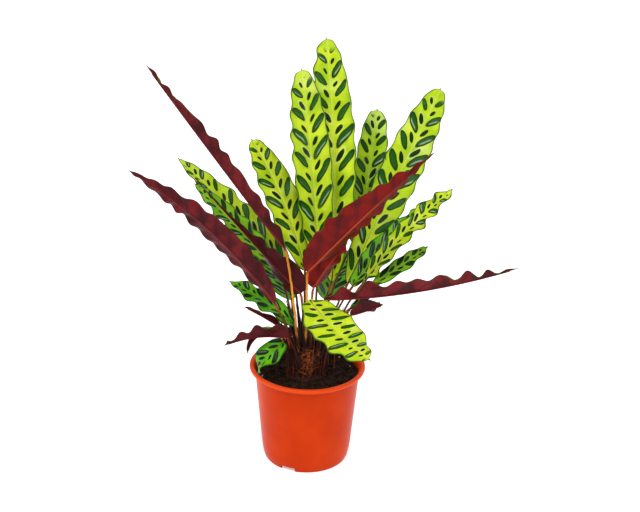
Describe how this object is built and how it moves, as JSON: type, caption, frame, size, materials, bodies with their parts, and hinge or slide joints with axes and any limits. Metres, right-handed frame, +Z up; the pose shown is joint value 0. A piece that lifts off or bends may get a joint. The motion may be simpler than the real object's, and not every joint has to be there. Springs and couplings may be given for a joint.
{
  "type": "potted calathea",
  "caption": "Potted calathea with long wavy leaves, green with dark oval marks above and burgundy below, in a round orange plastic nursery pot filled with soil.",
  "frame": {"origin": "centre of the pot's foot, on the surface that the pot stands on", "axes": "+Z up along the pot's axis; +X to the right and -Y towards the viewer who faces the plant's front"},
  "size_m": [0.4218, 0.2526, 0.5103],
  "materials": {
    "pot_plastic": "satin",
    "soil": "matte",
    "dry_fibre": "matte",
    "stalk": "satin",
    "leaf": "satin"
  },
  "bodies": {
    "root": {"pot": "pot_plastic", "potting_soil": "soil", "crown": "dry_fibre", "stalk_tall_back": "stalk", "blade_tall_back": "leaf", "stalk_tall_front": "stalk", "blade_tall_front": "leaf", "stalk_upright_left": "stalk", "blade_upright_left": "leaf", "stalk_far_mid": "stalk", "blade_far_mid": "leaf", "stalk_big_right": "stalk", "blade_big_right": "leaf", "stalk_long_left": "stalk", "blade_long_left": "leaf", "stalk_low_left": "stalk", "blade_low_left": "leaf", "stalk_mid_left": "stalk", "blade_mid_left": "leaf", "stalk_under_left": "stalk", "blade_under_left": "leaf", "stalk_twist_left": "stalk", "blade_twist_left": "leaf", "stalk_short_left": "stalk", "blade_short_left": "leaf", "stalk_thin_left": "stalk", "blade_thin_left": "leaf", "stalk_drop_left": "stalk", "blade_drop_left": "leaf", "stalk_curl_left": "stalk", "blade_curl_left": "leaf", "stalk_soil_left": "stalk", "blade_soil_left": "leaf", "stalk_big_front": "stalk", "blade_big_front": "leaf", "stalk_red_behind": "stalk", "blade_red_behind": "leaf", "stalk_pale_right": "stalk", "blade_pale_right": "leaf", "stalk_dark_right": "stalk", "blade_dark_right": "leaf", "stalk_behind_right": "stalk", "blade_behind_right": "leaf", "stalk_long_right": "stalk", "blade_long_right": "leaf", "stalk_shade_right": "stalk", "blade_shade_right": "leaf", "stalk_small_right": "stalk", "blade_small_right": "leaf", "stalk_front_right": "stalk", "blade_front_right": "leaf", "stalk_rear_left": "stalk", "blade_rear_left": "leaf", "stalk_rear_right": "stalk", "blade_rear_right": "leaf", "dry_sheath_front": "dry_fibre", "dry_sheath_back": "dry_fibre", "dry_sheath_left": "dry_fibre", "dry_sheath_outer_left": "dry_fibre"}
  },
  "joints": []
}
